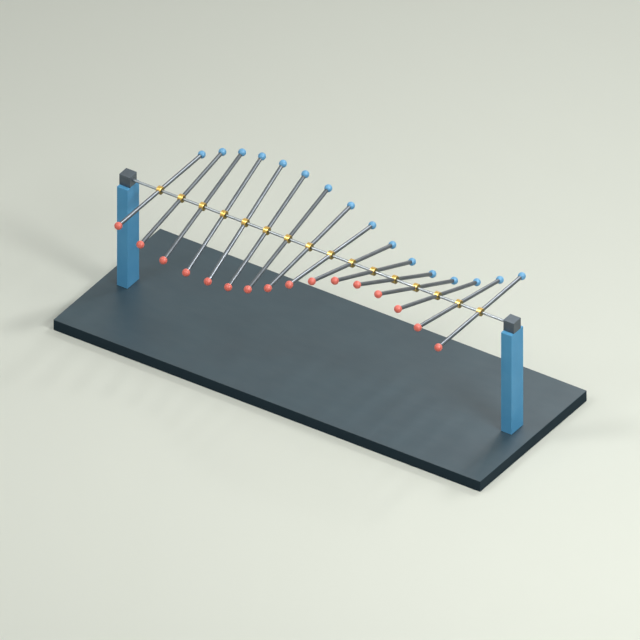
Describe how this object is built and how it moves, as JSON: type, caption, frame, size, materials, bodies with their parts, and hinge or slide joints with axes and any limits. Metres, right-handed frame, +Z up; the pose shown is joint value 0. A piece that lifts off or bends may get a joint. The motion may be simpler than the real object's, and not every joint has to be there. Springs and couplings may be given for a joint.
{
  "type": "torsion wave machine",
  "caption": "Desk-top torsion wave machine: a taut wire between two posts on a board carries a row of cross rods with a ball at each end, stopped in one whole wave.",
  "frame": {"origin": "middle of the underside of the board", "axes": "+X along the wire towards the right post, +Y to the back where the blue balls are, +Z up"},
  "size_m": [0.6, 0.225, 0.2058],
  "materials": {
    "board_paint": "satin paint",
    "post_paint": "satin",
    "block_paint": "satin",
    "wire_steel": "polished",
    "rod_steel": "polished",
    "screw_steel": "zinc plated",
    "hub_brass": "turned",
    "ball_red": "satin",
    "ball_blue": "satin"
  },
  "bodies": {
    "stand": {"base_board": "board_paint", "left_post": "post_paint", "right_post": "post_paint", "left_clamp_block": "block_paint", "right_clamp_block": "block_paint", "torsion_wire": "wire_steel", "post_screws": "screw_steel", "block_dowels": "screw_steel", "wire_grub_screws": "screw_steel"},
    "crossbar_01": {"rod_01": "rod_steel", "hub_01": "hub_brass", "end_balls_01": "ball_red"},
    "crossbar_02": {"rod_02": "rod_steel", "hub_02": "hub_brass", "end_balls_02": "ball_red"},
    "crossbar_03": {"rod_03": "rod_steel", "hub_03": "hub_brass", "end_balls_03": "ball_red"},
    "crossbar_04": {"rod_04": "rod_steel", "hub_04": "hub_brass", "end_balls_04": "ball_red"},
    "crossbar_05": {"rod_05": "rod_steel", "hub_05": "hub_brass", "end_balls_05": "ball_red"},
    "crossbar_06": {"rod_06": "rod_steel", "hub_06": "hub_brass", "end_balls_06": "ball_red"},
    "crossbar_07": {"rod_07": "rod_steel", "hub_07": "hub_brass", "end_balls_07": "ball_red"},
    "crossbar_08": {"rod_08": "rod_steel", "hub_08": "hub_brass", "end_balls_08": "ball_red"},
    "crossbar_09": {"rod_09": "rod_steel", "hub_09": "hub_brass", "end_balls_09": "ball_red"},
    "crossbar_10": {"rod_10": "rod_steel", "hub_10": "hub_brass", "end_balls_10": "ball_red"},
    "crossbar_11": {"rod_11": "rod_steel", "hub_11": "hub_brass", "end_balls_11": "ball_red"},
    "crossbar_12": {"rod_12": "rod_steel", "hub_12": "hub_brass", "end_balls_12": "ball_red"},
    "crossbar_13": {"rod_13": "rod_steel", "hub_13": "hub_brass", "end_balls_13": "ball_red"},
    "crossbar_14": {"rod_14": "rod_steel", "hub_14": "hub_brass", "end_balls_14": "ball_red"},
    "crossbar_15": {"rod_15": "rod_steel", "hub_15": "hub_brass", "end_balls_15": "ball_red"},
    "crossbar_16": {"rod_16": "rod_steel", "hub_16": "hub_brass", "end_balls_16": "ball_red"}
  },
  "joints": [
    {"name": "turn_01", "type": "hinge", "parent": "stand", "child": "crossbar_01", "pos_m": [-0.225, 0, 0.163], "axis": [1, 0, 0], "range_deg": [-60, 60], "stiffness_Nm_per_rad": 0.015077},
    {"name": "turn_02", "type": "hinge", "parent": "stand", "child": "crossbar_02", "pos_m": [-0.195, 0, 0.163], "axis": [1, 0, 0], "range_deg": [-70.49, 49.51], "stiffness_Nm_per_rad": 0.008925, "springref_deg": -10.49},
    {"name": "turn_03", "type": "hinge", "parent": "stand", "child": "crossbar_03", "pos_m": [-0.165, 0, 0.163], "axis": [1, 0, 0], "range_deg": [-79.17, 40.83], "stiffness_Nm_per_rad": 0.006613, "springref_deg": -19.17},
    {"name": "turn_04", "type": "hinge", "parent": "stand", "child": "crossbar_04", "pos_m": [-0.135, 0, 0.163], "axis": [1, 0, 0], "range_deg": [-84.54, 35.46], "stiffness_Nm_per_rad": 0.005438, "springref_deg": -24.54},
    {"name": "turn_05", "type": "hinge", "parent": "stand", "child": "crossbar_05", "pos_m": [-0.105, 0, 0.163], "axis": [1, 0, 0], "range_deg": [-85.66, 34.34], "stiffness_Nm_per_rad": 0.004762, "springref_deg": -25.66},
    {"name": "turn_06", "type": "hinge", "parent": "stand", "child": "crossbar_06", "pos_m": [-0.075, 0, 0.163], "axis": [1, 0, 0], "range_deg": [-82.34, 37.66], "stiffness_Nm_per_rad": 0.004356, "springref_deg": -22.34},
    {"name": "turn_07", "type": "hinge", "parent": "stand", "child": "crossbar_07", "pos_m": [-0.045, 0, 0.163], "axis": [1, 0, 0], "range_deg": [-75.16, 44.84], "stiffness_Nm_per_rad": 0.004121, "springref_deg": -15.17},
    {"name": "turn_08", "type": "hinge", "parent": "stand", "child": "crossbar_08", "pos_m": [-0.015, 0, 0.163], "axis": [1, 0, 0], "range_deg": [-65.36, 54.64], "stiffness_Nm_per_rad": 0.004013, "springref_deg": -5.36},
    {"name": "turn_09", "type": "hinge", "parent": "stand", "child": "crossbar_09", "pos_m": [0.015, 0, 0.163], "axis": [1, 0, 0], "range_deg": [-54.64, 65.36], "stiffness_Nm_per_rad": 0.004013, "springref_deg": 5.36},
    {"name": "turn_10", "type": "hinge", "parent": "stand", "child": "crossbar_10", "pos_m": [0.045, 0, 0.163], "axis": [1, 0, 0], "range_deg": [-44.84, 75.16], "stiffness_Nm_per_rad": 0.004121, "springref_deg": 15.17},
    {"name": "turn_11", "type": "hinge", "parent": "stand", "child": "crossbar_11", "pos_m": [0.075, 0, 0.163], "axis": [1, 0, 0], "range_deg": [-37.66, 82.34], "stiffness_Nm_per_rad": 0.004356, "springref_deg": 22.34},
    {"name": "turn_12", "type": "hinge", "parent": "stand", "child": "crossbar_12", "pos_m": [0.105, 0, 0.163], "axis": [1, 0, 0], "range_deg": [-34.34, 85.66], "stiffness_Nm_per_rad": 0.004762, "springref_deg": 25.66},
    {"name": "turn_13", "type": "hinge", "parent": "stand", "child": "crossbar_13", "pos_m": [0.135, 0, 0.163], "axis": [1, 0, 0], "range_deg": [-35.46, 84.54], "stiffness_Nm_per_rad": 0.005438, "springref_deg": 24.54},
    {"name": "turn_14", "type": "hinge", "parent": "stand", "child": "crossbar_14", "pos_m": [0.165, 0, 0.163], "axis": [1, 0, 0], "range_deg": [-40.83, 79.17], "stiffness_Nm_per_rad": 0.006613, "springref_deg": 19.17},
    {"name": "turn_15", "type": "hinge", "parent": "stand", "child": "crossbar_15", "pos_m": [0.195, 0, 0.163], "axis": [1, 0, 0], "range_deg": [-49.51, 70.49], "stiffness_Nm_per_rad": 0.008925, "springref_deg": 10.49},
    {"name": "turn_16", "type": "hinge", "parent": "stand", "child": "crossbar_16", "pos_m": [0.225, 0, 0.163], "axis": [1, 0, 0], "range_deg": [-60, 60], "stiffness_Nm_per_rad": 0.015077}
  ]
}
